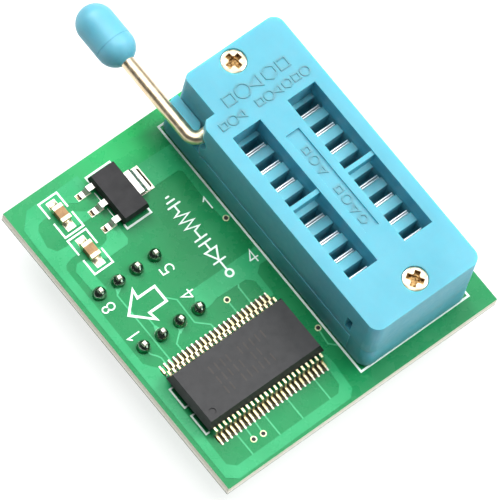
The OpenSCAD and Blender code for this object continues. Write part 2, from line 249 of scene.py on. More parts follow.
def add_turned(bm, centre, profile, steps=24, wobble=0.0):
    """Adds a shape turned round a vertical line; profile is a list of radius and height.
    wobble makes it lean and swell a little, differently each time."""
    rings = []
    lobes = [random.uniform(0, math.tau) for _ in range(3)]
    lean = Vector((random.uniform(-1, 1), random.uniform(-1, 1))) * wobble * 0.6
    for radius, height in profile:
        circle = []
        share = (height - profile[0][1]) / (profile[-1][1] - profile[0][1])
        for k in range(steps):
            a = math.tau * k / steps
            swell = 1 + wobble * sum(math.sin((n + 1) * a + lobes[n]) / (n + 2) for n in range(3))
            bulge = math.sin(math.pi * share)
            r = radius * (1 + (swell - 1) * bulge)
            circle.append(bm.verts.new((centre[0] + lean.x * bulge + r * math.cos(a),
                                        centre[1] + lean.y * bulge + r * math.sin(a), height)))
        rings.append(circle)
    add_skin(bm, rings)


def add_fillet(bm, foot, outward, width, length, height, steps=6):
    """Adds a concave ramp of solder that falls from a foot's end to the pad."""
    side = Vector((-outward.y, outward.x))
    rows = []
    for k in range(steps + 1):
        t = k / steps
        along = Vector(foot[:2]) + outward * length * t
        z = foot[2] + height * (1 - t) ** 2.2
        half = width / 2 * (1 - 0.12 * t)
        rows.append([bm.verts.new((*(along - side * half), foot[2] - SUNK)),
                     bm.verts.new((*(along - side * half * 0.82), z + 0.012)),
                     bm.verts.new((*along, z + 0.02)),
                     bm.verts.new((*(along + side * half * 0.82), z + 0.012)),
                     bm.verts.new((*(along + side * half), foot[2] - SUNK))])
    add_skin(bm, rows)


def soften(node, width, segments=2, angle=35):
    """Rounds a CAD node's sharp edges with modifiers. Its own mesh stays as it is."""
    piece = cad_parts[node]
    weld = piece.modifiers.new("weld", "WELD")
    weld.merge_threshold = 1e-6
    bevel = piece.modifiers.new("bevel", "BEVEL")
    bevel.width = width * MM
    bevel.segments = segments
    bevel.limit_method = "ANGLE"
    bevel.angle_limit = math.radians(angle)
    bevel.harden_normals = True


# ---------------------------------------------------------------- material helpers

def srgb(red, green, blue):
    """A colour given as 0 to 255 on the screen, as Blender's linear colour."""
    def linear(value):
        share = value / 255
        return share / 12.92 if share <= 0.04045 else ((share + 0.055) / 1.055) ** 2.4
    return linear(red), linear(green), linear(blue), 1.0


def pigment(red, green, blue):
    """The colour of a painted or moulded surface that looks like this under the studio light."""
    linear = srgb(red, green, blue)
    return tuple(value * PIGMENT_DEPTH for value in linear[:3]) + (1.0,)


class Surface:
    """A procedural material around one Principled shader. Sizes of its grain are in millimetres."""

    def __init__(self, name, roughness, metallic=0.0, **inputs):
        """Starts a material; inputs are the shader's other inputs by name."""
        self.material = bpy.data.materials.new(name)
        self.material.use_nodes = True
        self.tree = self.material.node_tree
        self.shader = self.tree.nodes["Principled BSDF"]
        self.shader.inputs["Roughness"].default_value = roughness
        self.shader.inputs["Metallic"].default_value = metallic
        for label, value in inputs.items():
            self.shader.inputs[label.replace("_", " ")].default_value = value
        self.place = self.tree.nodes.new("ShaderNodeTexCoord")

    def link(self, source, target):
        """Joins an output to an input."""
        self.tree.links.new(source, target)

    def node(self, kind, **settings):
        """A new node with its settings."""
        made = self.tree.nodes.new(kind)
        for label, value in settings.items():
            setattr(made, label, value)
        return made

    def noise(self, size, detail=3.0, stretch=(1, 1, 1), rough=0.55):
        """Noise whose features are about size millimetres across."""
        mapping = self.node("ShaderNodeMapping")
        mapping.inputs["Scale"].default_value = stretch
        self.link(self.place.outputs["Object"], mapping.inputs["Vector"])
        noise = self.node("ShaderNodeTexNoise")
        noise.inputs["Scale"].default_value = 1 / (size * MM)
        noise.inputs["Detail"].default_value = detail
        noise.inputs["Roughness"].default_value = rough
        self.link(mapping.outputs["Vector"], noise.inputs["Vector"])
        return noise.outputs["Fac"]

    def ramp(self, factor, stops):
        """Colours or greys spread along a factor; stops is a list of place and colour."""
        ramp = self.node("ShaderNodeValToRGB")
        elements = ramp.color_ramp.elements
        while len(elements) < len(stops):
            elements.new(0.5)
        for element, (place, colour) in zip(elements, stops):
            element.position = place
            element.color = colour if len(colour) == 4 else (*colour, 1.0)
        self.link(factor, ramp.inputs["Fac"])
        return ramp.outputs["Color"]

    def grey(self, factor, low, high, start=0.3, end=0.7):
        """A number between low and high that follows a factor."""
        spread = self.node("ShaderNodeMapRange")
        spread.inputs["From Min"].default_value = start
        spread.inputs["From Max"].default_value = end
        spread.inputs["To Min"].default_value = low
        spread.inputs["To Max"].default_value = high
        self.link(factor, spread.inputs["Value"])
        return spread.outputs["Result"]

    def mix(self, factor, first, second):
        """One colour where factor is 0 and the other where it is 1."""
        mix = self.node("ShaderNodeMix", data_type="RGBA")
        self.link(factor, mix.inputs[0])
        self.link(first, mix.inputs[6])
        self.link(second, mix.inputs[7])
        return mix.outputs[2]

    def times(self, first, second):
        """One colour multiplied by another."""
        mix = self.node("ShaderNodeMix", data_type="RGBA", blend_type="MULTIPLY")
        mix.inputs[0].default_value = 1.0
        self.link(first, mix.inputs[6])
        self.link(second, mix.inputs[7])
        return mix.outputs[2]

    def across(self, axis, low, high):
        """0 at one place along X, Y or Z in the frame and 1 at another, in millimetres."""
        parts = self.node("ShaderNodeSeparateXYZ")
        self.link(self.place.outputs["Object"], parts.inputs["Vector"])
        spread = self.node("ShaderNodeMapRange")
        spread.inputs["From Min"].default_value = low * MM
        spread.inputs["From Max"].default_value = high * MM
        self.link(parts.outputs[axis], spread.inputs["Value"])
        return spread.outputs["Result"]

    def paint(self, colour):
        """Sets the base colour from a node's output."""
        self.link(colour, self.shader.inputs["Base Color"])

    def rough(self, value):
        """Sets the roughness from a node's output."""
        self.link(value, self.shader.inputs["Roughness"])

    def bump(self, height, depth, strength=1.0):
        """Raises the surface by up to depth millimetres where height is 1."""
        bump = self.node("ShaderNodeBump")
        bump.inputs["Distance"].default_value = depth * MM
        bump.inputs["Strength"].default_value = strength
        self.link(height, bump.inputs["Height"])
        previous = self.shader.inputs["Normal"]
        if previous.is_linked:
            self.link(previous.links[0].from_socket, bump.inputs["Normal"])
        self.link(bump.outputs["Normal"], self.shader.inputs["Normal"])

    def upward(self):
        """1 on faces that look up or down, 0 on the sides."""
        parts = self.node("ShaderNodeSeparateXYZ")
        self.link(self.place.outputs["Normal"], parts.inputs["Vector"])
        size = self.node("ShaderNodeMath", operation="ABSOLUTE")
        self.link(parts.outputs["Z"], size.inputs[0])
        flat = self.node("ShaderNodeMath", operation="GREATER_THAN")
        flat.inputs[1].default_value = 0.7
        self.link(size.outputs[0], flat.inputs[0])
        return flat.outputs[0]


def solder_mask(name, dark, light):
    """Glossy green lacquer with slow changes of depth and gloss and a faint orange peel."""
    s = Surface(name, roughness=0.3, Specular_IOR_Level=0.5)
    s.paint(s.ramp(s.noise(5.0, 4), [(0.3, dark), (0.7, light)]))
    s.rough(s.grey(s.noise(1.6), 0.22, 0.34))
    s.bump(s.noise(0.9, 2), 0.005, 0.4)
    s.bump(s.noise(0.12, 2), 0.002, 0.5)
    return s


# Where the board's mask is painted paler, as painted light: how far in from the rear edge, in the corner
# by the regulator and along the rest of that edge, and between which places along X the corner fades out
GLOW_CORNER = (6, 2)
GLOW_EDGE = (2.4, 1)
GLOW_CORNER_FADE = (13.5, 9.5)


def board_surface():
    """Solder mask on the faces, painted paler towards the rear edge as painted light, and brighter still
    towards the socket along X; round the edge, cut glass laminate between two green skins."""
    s = solder_mask("board_mask", pigment(8, 160, 92), pigment(14, 168, 100))
    deep = s.shader.inputs["Base Color"].links[0].from_socket
    rear = BOARD_HIGH.y
    # Painted light: the pale mask lifts the board by the rear edge, and it grows brighter along X to lift
    # the socket's shade.
    corner = s.node("ShaderNodeMath", operation="MULTIPLY")
    s.link(s.across("Y", rear - GLOW_CORNER[0], rear - GLOW_CORNER[1]), corner.inputs[0])
    s.link(s.across("X", *GLOW_CORNER_FADE), corner.inputs[1])
    painted_glow = s.node("ShaderNodeMath", operation="MAXIMUM")
    s.link(corner.outputs[0], painted_glow.inputs[0])
    s.link(s.across("Y", rear - GLOW_EDGE[0], rear - GLOW_EDGE[1]), painted_glow.inputs[1])
    pale = s.ramp(s.across("X", 0, 11), [(0.0, pigment(44, 180, 110)), (1.0, pigment(34, 232, 130))])
    mask = s.mix(painted_glow.outputs[0], deep, pale)
    layers = s.noise(0.5, 4, stretch=(0.12, 0.12, 5))
    fibre = s.ramp(layers, [(0.3, srgb(232, 230, 214)), (0.5, srgb(246, 245, 236)),
                            (0.72, srgb(253, 253, 247))])
    skins = s.ramp(s.across("Z", UNDER, TOP),
                   [(0.0, srgb(84, 110, 84)), (0.07, srgb(120, 140, 110)),
                    (0.12, srgb(255, 255, 255)), (0.5, srgb(255, 250, 246)),
                    (0.56, srgb(232, 232, 222)), (0.93, srgb(235, 240, 228)),
                    (1.0, srgb(120, 190, 140))])
    up = s.upward()
    s.paint(s.mix(up, s.times(fibre, skins), mask))
    edge_rough = s.node("ShaderNodeMix", data_type="FLOAT")
    s.link(up, edge_rough.inputs[0])
    edge_rough.inputs[2].default_value = 0.8
    s.link(s.grey(s.noise(1.6), 0.22, 0.34), edge_rough.inputs[3])
    s.rough(edge_rough.outputs[0])
    s.bump(layers, 0.02, 0.4)
    return s.material


def masked_copper(name, dark, light):
    """The same lacquer over copper, where it looks lighter."""
    return solder_mask(name, dark, light).material


def ink():
    """White legend ink, a little uneven where it was screened on."""
    s = Surface("legend_ink", roughness=0.6)
    s.paint(s.ramp(s.noise(0.35, 3), [(0.25, srgb(214, 236, 222)), (0.5, srgb(238, 248, 242))]))
    s.bump(s.noise(0.15, 2), 0.006, 0.6)
    return s.material


def tin(name, dark, light, roughness=0.28, grain=0.35, waves=0.004):
    """Tin or solder: bright metal with soft swirls and a slightly wavy skin."""
    s = Surface(name, roughness=roughness, metallic=1.0)
    s.paint(s.ramp(s.noise(grain, 3), [(0.3, dark), (0.65, light)]))
    s.rough(s.grey(s.noise(grain * 1.7, 2), roughness * 0.8, roughness * 1.25))
    s.bump(s.noise(grain, 2), waves, 0.4)
    return s.material


def socket_plastic(name, dark, light, roughness=0.42):
    """Moulded blue plastic: satin skin that carries a little blue-green light, slow flow marks
    and fine spark-eroded grain."""
    s = Surface(name, roughness=roughness, Specular_IOR_Level=0.32, Subsurface_Weight=0.6,
                Subsurface_Scale=0.002, Subsurface_Radius=(0.1, 0.95, 1.0))
    flow = s.noise(4.5, 4, stretch=(1, 0.6, 1.6))
    s.paint(s.ramp(flow, [(0.3, dark), (0.7, light)]))
    s.rough(s.grey(s.noise(0.8, 3), roughness - 0.06, roughness + 0.08))
    s.bump(s.noise(2.2, 2), 0.02, 0.25)
    s.bump(s.noise(0.09, 3), 0.003, 0.6)
    return s.material


def moulding_compound(name, dark, light, roughness=0.5, gloss=0.8):
    """Black epoxy with a few pale filler grains, slow sheen and a fine matt grain."""
    s = Surface(name, roughness=roughness, Specular_IOR_Level=gloss)
    base = s.ramp(s.noise(2.6, 4), [(0.3, dark), (0.7, light)])
    specks = s.node("ShaderNodeTexVoronoi")
    specks.inputs["Scale"].default_value = 1 / (0.2 * MM)
    s.link(s.place.outputs["Object"], specks.inputs["Vector"])
    near = s.grey(specks.outputs["Distance"], 1.0, 0.0, 0.05, 0.2)
    chosen = s.grey(s.noise(0.35, 2), 0.0, 0.6, 0.58, 0.7)
    both = s.node("ShaderNodeMath", operation="MULTIPLY")
    s.link(near, both.inputs[0])
    s.link(chosen, both.inputs[1])
    pale = s.ramp(both.outputs[0], [(0.0, dark), (1.0, tuple(min(1, c * 3) for c in light[:3]))])
    s.paint(s.mix(both.outputs[0], base, pale))
    s.rough(s.grey(s.noise(0.8, 3), roughness - 0.05, roughness + 0.08))
    s.bump(s.noise(0.08, 3), 0.003, 0.7)
    return s.material


def plated_wire():
    """Nickel plated steel with lengthwise drawing lines and warm reflections."""
    s = Surface("lever_steel", roughness=0.36, metallic=1.0)
    s.paint(s.ramp(s.noise(1.2, 3), [(0.3, srgb(236, 212, 178)), (0.7, srgb(252, 235, 206))]))
    s.rough(s.grey(s.noise(0.6, 3), 0.32, 0.42))
    s.bump(s.noise(0.14, 2, stretch=(1, 0.06, 1)), 0.002, 0.4)
    return s.material


def knob_plastic():
    """Satin moulded knob with a little light carried inside it."""
    s = Surface("knob_blue", roughness=0.42, Subsurface_Weight=0.2, Subsurface_Scale=0.001)
    s.paint(s.ramp(s.noise(3.0, 3), [(0.3, pigment(124, 209, 232)), (0.7, pigment(136, 218, 240))]))
    s.rough(s.grey(s.noise(0.7, 3), 0.38, 0.5))
    s.bump(s.noise(1.4, 2), 0.012, 0.3)
    s.bump(s.noise(0.1, 2), 0.002, 0.5)
    return s.material


# Depths under the screw's head between which its pale plate is painted darker brown, as painted shade in
# the recess
RECESS_SHADE_DEPTH = (0.3, 0.18)


def plated_screw():
    """Nickel plate: pale on the head, painted darker brown with depth inside the recess as painted shade.
    """
    s = Surface("screw_plate", roughness=0.3, metallic=1.0)
    head = box("cover_screw_front")[1].z
    recess_shade = s.ramp(s.noise(0.25, 3), [(0.35, srgb(92, 66, 38)), (0.65, srgb(198, 164, 112))])
    plate = s.ramp(s.noise(0.7, 3), [(0.3, srgb(206, 186, 154)), (0.7, srgb(240, 226, 204))])
    s.paint(s.mix(s.across("Z", head - RECESS_SHADE_DEPTH[0], head - RECESS_SHADE_DEPTH[1]), recess_shade, plate))
    s.rough(s.grey(s.noise(0.5, 3), 0.26, 0.4))
    s.bump(s.noise(0.3, 2), 0.004, 0.4)
    return s.material


def ceramic():
    """Fired tan ceramic, matt, with pores."""
    s = Surface("capacitor_ceramic", roughness=0.5)
    s.paint(s.ramp(s.noise(0.4, 4), [(0.3, pigment(176, 134, 90)), (0.7, pigment(212, 170, 118))]))
    s.bump(s.noise(0.08, 3), 0.004, 0.7)
    return s.material


def bare_plastic(name, dark, light, roughness):
    """Plain moulded plastic for the hidden or black parts."""
    s = Surface(name, roughness=roughness)
    s.paint(s.ramp(s.noise(1.5, 3), [(0.3, dark), (0.7, light)]))
    s.rough(s.grey(s.noise(0.5, 3), roughness - 0.07, roughness + 0.07))
    s.bump(s.noise(0.1, 3), 0.004, 0.6)
    return s.material


BOARD = board_surface()
MASKED_COPPER = masked_copper("masked_copper", pigment(48, 190, 122), pigment(66, 205, 138))
MASKED_TRACE = masked_copper("masked_trace", pigment(82, 214, 148), pigment(104, 226, 164))
INK = ink()
# Painted reflection: the solder is darkened and tinted green for the green board and dark surroundings
# that it reflects.
SOLDER = tin("solder", srgb(92, 112, 96), srgb(152, 172, 154), 0.2, 0.4, 0.01)
TINNED = tin("tinned_pad", srgb(196, 190, 172), srgb(236, 232, 220), 0.4, 0.5, 0.012)
# Painted shade: the bare strip between the chip's pads is dark olive, for the shade between the feet.
SHADED_LAMINATE = bare_plastic("bare_laminate_shaded", pigment(66, 68, 38), pigment(96, 94, 60), 0.6)
VIA_RING = tin("via_ring", srgb(176, 184, 140), srgb(222, 226, 190), 0.45, 0.3)
# Painted shade: the regulator's fillets are dark brown, for the dark notch of shade at each foot's end.
SHADED_FILLET = tin("solder_fillet_shaded", srgb(70, 60, 46), srgb(164, 150, 122), 0.3, 0.5, 0.02)
# Painted shade: the beads along the chip's feet are dark olive, for the shade and dark reflections between
# the feet.
SHADED_CHIP_SOLDER = tin("chip_solder_shaded", srgb(84, 76, 46), srgb(158, 146, 104), 0.4, 0.3)
LEAD = tin("tinned_lead", srgb(206, 194, 150), srgb(248, 240, 208), 0.34, 0.5)
REGULATOR_LEAD = tin("regulator_lead", srgb(214, 211, 202), srgb(250, 249, 244), 0.34, 0.5)
TERMINAL = tin("capacitor_terminal", srgb(196, 180, 146), srgb(244, 234, 208), 0.4, 0.4, 0.01)
CONTACT = tin("contact_blade", srgb(238, 238, 240), srgb(253, 253, 254), 0.38, 0.9, 0.002)
PIN_GOLD = tin("plug_pin_gold", srgb(206, 160, 78), srgb(240, 204, 120), 0.22, 0.6)
COVER = socket_plastic("cover_blue", pigment(119, 204, 225), pigment(130, 213, 233))
BASE = socket_plastic("base_blue", pigment(112, 204, 226), pigment(123, 213, 234))
# Painted light: the comb's blue is lighter than the cover's, to lift it where the window walls shade it.
COMB = socket_plastic("comb_blue", pigment(136, 224, 244), pigment(152, 232, 250), 0.45)
CHIP = moulding_compound("chip_epoxy", pigment(32, 32, 35), pigment(42, 42, 45), 0.5, 0.66)
REGULATOR = moulding_compound("regulator_epoxy", pigment(34, 33, 36), pigment(44, 42, 46), 0.55, 0.48)
WIRE = plated_wire()
KNOB = knob_plastic()
SCREW = plated_screw()
CERAMIC = ceramic()
BLACK = bare_plastic("strip_black", pigment(26, 26, 29), pigment(38, 38, 42), 0.5)
LASER_MARK = moulding_compound("laser_mark", pigment(52, 46, 42), pigment(68, 60, 54), 0.5, 0.66)
CAM = bare_plastic("cam_white", pigment(214, 214, 206), pigment(232, 232, 226), 0.45)


# ---------------------------------------------------------------- finishes of the CAD nodes

FINISHES = [
    (BOARD, ["circuit_board"]),
    (VIA_RING, ["via_barrels"]),
    (BLACK, ["plug_strip_front", "plug_strip_rear"]),
    (PIN_GOLD, PLUG_PINS),
    (SOLDER, ["socket_solder_joints", "plug_solder_joints"]),
    (COVER, ["socket_cover"]),
    (BASE, ["socket_base"]),
    (COMB, ["socket_comb"]),
    (SCREW, ["cover_screw_front", "cover_screw_rear"]),
    (WIRE, ["lever_wire"]),
    (KNOB, ["lever_knob"]),
    (CAM, ["lever_cam"]),
    (CONTACT, CONTACTS),
    (CHIP, ["wide_chip_body"]),
    (LEAD, ["wide_chip_leads_front", "wide_chip_leads_rear"]),
    (REGULATOR_LEAD, ["regulator_tab"] + REGULATOR_LEGS),
    (REGULATOR, ["regulator_body"]),
    (CERAMIC, [name + "_body" for name in CAPACITORS]),
    (TERMINAL, [name + "_terminals" for name in CAPACITORS]),
]


# Width of the rounding on the moulded parts' edges
SOFTENED = {"socket_cover": 0.12, "socket_base": 0.1, "wide_chip_body": 0.06, "regulator_body": 0.06}


def finish_nodes():
    """Gives every CAD node its material, and rounds the edges of the moulded ones."""
    for material, nodes in FINISHES:
        for node in nodes:
            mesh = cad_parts[node].data
            if not mesh.materials:
                mesh.materials.append(material)
            for index in range(len(mesh.materials)):
                mesh.materials[index] = material
    for node, width in SOFTENED.items():
        soften(node, width)


# ---------------------------------------------------------------- copper under the mask

def pour_shapes():
    """Wide copper areas. The ring round the board is one outline, out along its outer edge
    and back along its inner one."""
    ring_pour = [(2.8, 16.1), (-4.2, 16.1), (-5.9, 14.4), (-6.0, 12.0), (-6.0, -20.8), (-4.8, -21.75),
                 (10.75, -21.6), (11.6, -20.8), (11.85, -17.4), (11.7, -15.9), (10.9, -15.9),
                 (10.9, -17.1), (10.7, -19.6), (10.0, -20.35), (-4.1, -20.4), (-4.95, -19.6),
                 (-4.8, -10.9), (-4.3, -9.4), (-3.4, -8.7), (-3.4, -6.7), (-3.9, -6.7),
                 (-4.5, -6.0), (-5.05, -5.25), (-4.95, 8.1), (-4.6, 8.6), (-3.7, 8.85),
                 (-2.2, 8.85), (-1.0, 9.2), (-1.0, 10.4), (-3.3, 10.25), (-4.45, 10.4),
                 (-5.05, 11.4), (-4.65, 13.45), (-4.15, 14.0), (-3.4, 14.15), (0.0, 14.1),
                 (0.9, 13.55), (2.3, 13.6), (2.85, 14.6)]
    to_pin_8 = [(-0.9, 7.3), (-2.65, 7.7), (-2.9, 8.0), (-3.65, 8.0), (-4.3, 7.35), (-4.2, 4.0),
                (-3.8, 3.5), (-2.75, 3.9), (-2.85, 6.1), (-0.9, 6.2)]
    between = [(-1.9, 12.7), (-0.35, 13.3), (0.1, 12.9), (0.95, 12.3), (2.2, 12.1), (2.2, 11.4),
               (0.35, 11.35), (-1.9, 11.6)]
    leg_3 = [(2.3, 9.5), (0.95, 9.6), (1.15, 8.9), (0.75, 8.35), (-0.05, 8.1), (-0.7, 8.2),
             (-1.0, 7.2), (-0.7, 6.6), (2.3, 6.6), (2.72, 7.1), (2.76, 8.9)]
    from_tab = [(8.2, 10.2), (12.1, 10.2), (12.5, 9.8), (12.4, 5.8), (12.6, 2.7), (13.6, 2.5),
                (13.6, 13.1), (8.2, 13.3)]
    from_pin_4 = [(3.8, -3.2), (4.3, -2.6), (4.4, -1.67), (13.6, -1.7), (13.6, -3.7), (12.5, -3.65),
                  (11.65, -4.3), (11.55, -7.3), (10.85, -7.3), (10.85, -4.85), (10.1, -4.15),
                  (6.1, -4.0), (5.3, -4.25), (4.6, -4.3), (3.9, -4.4)]
    return [outline(ring_pour), outline(to_pin_8), outline(between), outline(leg_3),
            outline(from_tab), outline(from_pin_4)]


def traces():
    """Thin routes between plug, chip, vias and the ring, and teardrops where some meet a pin."""
    under_toes = 0.2
    front = box("wide_chip_leads_front")[0].y + under_toes
    rear = box("wide_chip_leads_rear")[1].y - under_toes
    routes = [
        [(-1.27, 3.81), (-2.35, 2.55), (-2.35, rear)],
        [(-3.81, -3.81), (-3.65, -4.9), (-3.2, -5.5), (-3.0, -5.9), (-3.0, rear)],
        [(-1.27, -3.81), (-1.27, -1.5)],
        [(1.27, -3.81), (0.5, -4.7), (-0.62, -5.6), (-0.62, rear)],
        [(1.6, -0.7), (1.85, -0.8), (2.6, -1.6), (2.5, -4.8), (3.8, -6.0), (3.85, rear)],
        [(6.98, -4.8), (6.98, rear)],
        [(9.2, -4.0), (8.95, -4.4), (8.9, rear)],
        [(12.95, -13.15), (12.7, -15.2), (13.4, -15.9)],
        [(-0.62, front), (-0.75, -19.1)],
        [(0.65, front), (0.55, -18.5), (0.5, -19.2)],
    ]
    for x in (-1.9, 1.9, 5.08, 8.9):
        routes.append([(x, front), (x, -20.6)])
    tears = [[(-1.75, -3.4), (-1.27, -2.3), (-0.8, -3.4)], [(0.6, -3.95), (0.45, -5.0), (1.6, -4.4)],
             [(-1.9, 3.7), (-2.35, 2.5), (-1.0, 3.2)]]
    return [stroke(route, TRACE) for route in routes] + [outline(t) for t in tears]


def make_copper():
    """The pours, and the traces a little thinner, so that their faces don't coincide."""
    flat_piece("copper_pours", pour_shapes(), TOP - SUNK, TOP + COPPER_RISE, MASKED_COPPER)
    flat_piece("copper_traces", traces(), TOP - SUNK, TOP + COPPER_RISE * 0.9, MASKED_TRACE)


# ---------------------------------------------------------------- pads, solder and joints

def chip_rows():
    """Each row of the chip's leads: its node, the way that it points and the Y of its toes."""
    rows = []
    for node, outward in (("wide_chip_leads_front", -1), ("wide_chip_leads_rear", 1)):
        low, high = box(node)
        rows.append((node, outward, low.y if outward < 0 else high.y))
    return rows


def lead_middles(node):
    """The X of every lead's middle in a row."""
    return [(low.x + high.x) / 2 for low, high in solids(node)]


def make_chip_pads():
    """A narrow pad under each of the chip's feet."""
    half, past_toe, under_foot = 0.1, 0.42, 0.95
    shapes = []
    for node, outward, toes in chip_rows():
        ends = sorted((toes + outward * past_toe, toes - outward * under_foot))
        for x in lead_middles(node):
            shapes.append(rectangle((x - half, ends[0]), (x + half, ends[1])))
    flat_piece("chip_pads", shapes, TOP - SUNK, TOP + PAD_RISE, TINNED)


def make_tinned_pads():
    """Pads under the regulator's legs and tab and under the capacitors' ends."""
    margin = 0.05
    shapes = []
    for node in REGULATOR_LEGS:
        low, high = box(node)
        shapes.append(rectangle((low.x - 0.45, low.y - margin), (low.x + 1.3, high.y + margin)))
    low, high = box("regulator_tab")
    shapes.append(rectangle((high.x - 1.6, low.y - 0.1), (high.x + 0.45, high.y + 0.1)))
    for name in CAPACITORS:
        low, high = box(name + "_terminals")
        for end, outward in ((low.y, -1), (high.y, 1)):
            ends = sorted((end + outward * 1.0, end - outward * 0.35))
            shapes.append(rectangle((low.x + margin, ends[0]), (high.x - margin, ends[1])))
    flat_piece("tinned_pads", shapes, TOP - SUNK, TOP + PAD_RISE, TINNED)


def make_bare_laminate():
    """A strip along each row of the chip's feet where no mask lies between the pads; its dark colour is
    painted shade.
    """
    past_toe, under_foot, past_row = 0.3, 1.0, 0.1
    shapes = []
    for node, outward, toes in chip_rows():
        low, high = box(node)
        ends = sorted((toes + outward * past_toe, toes - outward * under_foot))
        shapes.append(rectangle((low.x - past_row, ends[0]), (high.x + past_row, ends[1])))
    flat_piece("bare_laminate_shaded", shapes, TOP - SUNK, TOP + LAMINATE_RISE, SHADED_LAMINATE)


def make_pad_rings():
    """Rings round the plug's pins on top and round the socket's contacts underneath."""
    rings = [ring(middle(pin).xy, PIN_PAD, PAD_HOLE) for pin in PLUG_PINS]
    flat_piece("plug_pad_rings", rings, TOP - SUNK, TOP + PAD_RISE, TINNED)
    under = [ring(middle(pin).xy, CONTACT_PAD, PAD_HOLE) for pin in CONTACTS]
    flat_piece("underside_pads", under, UNDER - PAD_RISE, UNDER + SUNK, TINNED)


def add_bead(bm, start, end, width, height, steps=8):
    """Adds solder along a foot between two places: a ridge on each side, low in the middle."""
    start, end = Vector(start), Vector(end)
    along = (end - start).normalized()
    side = Vector((-along.y, along.x))
    across = ((1, 0), (0.76, 0.6), (0.52, 1), (0.36, 0.5), (-0.36, 0.5), (-0.52, 1), (-0.76, 0.6), (-1, 0))
    rows = []
    for k in range(steps + 1):
        share = k / steps
        swell = math.sqrt(max(0.06, 1 - (2 * share - 1) ** 6))
        place = start + (end - start) * share
        row = []
        for reach, rise in across:
            spot = place + side * (reach * width / 2 * swell)
            row.append(bm.verts.new((spot.x, spot.y, TOP + rise * height * swell)))
        rows.append(row)
    add_skin(bm, rows)


def make_fillets():
    """Solder round the chip's feet, and drawn up the end of every other foot and terminal."""
    beads = bmesh.new()
    for node, outward, toes in chip_rows():
        for x in lead_middles(node):
            start, end = (x, toes + outward * 0.04), (x, toes - outward * 0.8)
            add_bead(beads, start, end, width=0.5, height=0.19)
    make_object("chip_solder_shaded", beads, SHADED_CHIP_SOLDER, smooth=True)
    bm = bmesh.new()
    pad = TOP + PAD_RISE
    for node in REGULATOR_LEGS:
        low, high = box(node)
        foot = (low.x, (low.y + high.y) / 2, pad)
        add_fillet(bm, foot, Vector((-1, 0)), high.y - low.y, length=0.4, height=0.14)
    low, high = box("regulator_tab")
    foot = (high.x, (low.y + high.y) / 2, pad)
    add_fillet(bm, foot, Vector((1, 0)), high.y - low.y, length=0.3, height=0.12)
    make_object("regulator_solder", bm, SHADED_FILLET, smooth=True)
    bm = bmesh.new()
    for name in CAPACITORS:
        low, high = box(name + "_terminals")
        for end, outward in ((low.y, -1), (high.y, 1)):
            foot = ((low.x + high.x) / 2, end, pad)
            width = high.x - low.x - 0.1
            add_fillet(bm, foot, Vector((0, outward)), width, length=0.7, height=0.3, steps=8)
    make_object("capacitor_solder", bm, TERMINAL, smooth=True)


# The regulator's bent leads: thickness, height at which they leave the body, radii of the two
# bends, length of the foot, and slope between the bends in degrees
LEAD_SHEET = 0.26
LEAD_DROP = 0.8
SHOULDER_RADIUS = 0.2
HEEL_RADIUS = 0.46
LEAD_FOOT = 0.72
LEAD_LEAN = 78
BEND_STEPS = 10


def bent_lead(start, foot_end):
    """Middle line of a gull-wing lead as reach and height: flat, down round the shoulder's radius,
    out again round the heel's, flat."""
    lean = math.radians(LEAD_LEAN)
    low = LEAD_SHEET / 2
    knee = foot_end - LEAD_FOOT
    shoulder = knee - (LEAD_DROP - low) / math.tan(lean)
    path = [(start, LEAD_DROP)]
    for k in range(BEND_STEPS + 1):
        a = lean * k / BEND_STEPS
        path.append((shoulder + SHOULDER_RADIUS * (math.sin(a) - math.tan(lean / 2)),
                     LEAD_DROP - SHOULDER_RADIUS * (1 - math.cos(a))))
    for k in range(BEND_STEPS + 1):
        a = lean * (1 - k / BEND_STEPS)
        path.append((knee + HEEL_RADIUS * (math.tan(lean / 2) - math.sin(a)),
                     low + HEEL_RADIUS * (1 - math.cos(a))))
    path.append((foot_end, low))
    return path


def add_ribbon(bm, path, place, outward, width, thickness):
    """Adds a bent strip: path gives reach along outward from place, and height."""
    side = Vector((-outward.y, outward.x)) * width / 2
    rows = []
    for k, here in enumerate(path):
        before, after = path[max(0, k - 1)], path[min(len(path) - 1, k + 1)]
        along = Vector((after[0] - before[0], after[1] - before[1])).normalized()
        normal = Vector((-along.y, along.x)) * thickness / 2
        row = []
        for sign, edge in ((1, -1), (1, 1), (-1, 1), (-1, -1)):
            reach = here[0] + normal.x * sign
            spot = place + outward * reach + side * edge
            row.append(bm.verts.new((spot.x, spot.y, TOP + here[1] + normal.y * sign)))
        rows.append(row)
    add_skin(bm, rows)


def make_regulator_leads():
    """The regulator's legs and its wide tab as strips with round bends."""
    body = middle("regulator_body")
    low, high = box("regulator_body")
    for node in REGULATOR_LEGS + ["regulator_tab"]:
        outward = Vector((1, 0)) if node == "regulator_tab" else Vector((-1, 0))
        leg_low, leg_high = box(node)
        reach = max(abs(leg_low.x - body.x), abs(leg_high.x - body.x))
        path = bent_lead((high.x - low.x) / 2 - 0.1, reach)
        bm = bmesh.new()
        width = leg_high.y - leg_low.y
        add_ribbon(bm, path, Vector((body.x, middle(node).y)), outward, width, LEAD_SHEET)
        piece = make_object(node + "_bent", bm, REGULATOR_LEAD)
        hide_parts(node)


# Radius and height above the board up a dome of solder
DOME = [(0.82, -SUNK), (0.81, 0.12), (0.78, 0.34), (0.71, 0.54), (0.6, 0.72), (0.46, 0.86),
        (0.33, 0.94), (0.24, 0.97)]
# Half width of a pin's square tip, its lowest and highest point above the board, and its chamfer
TIP_HALF = 0.28
TIP_SPAN = (0.8, 1.34)
TIP_CHAMFER = 0.09


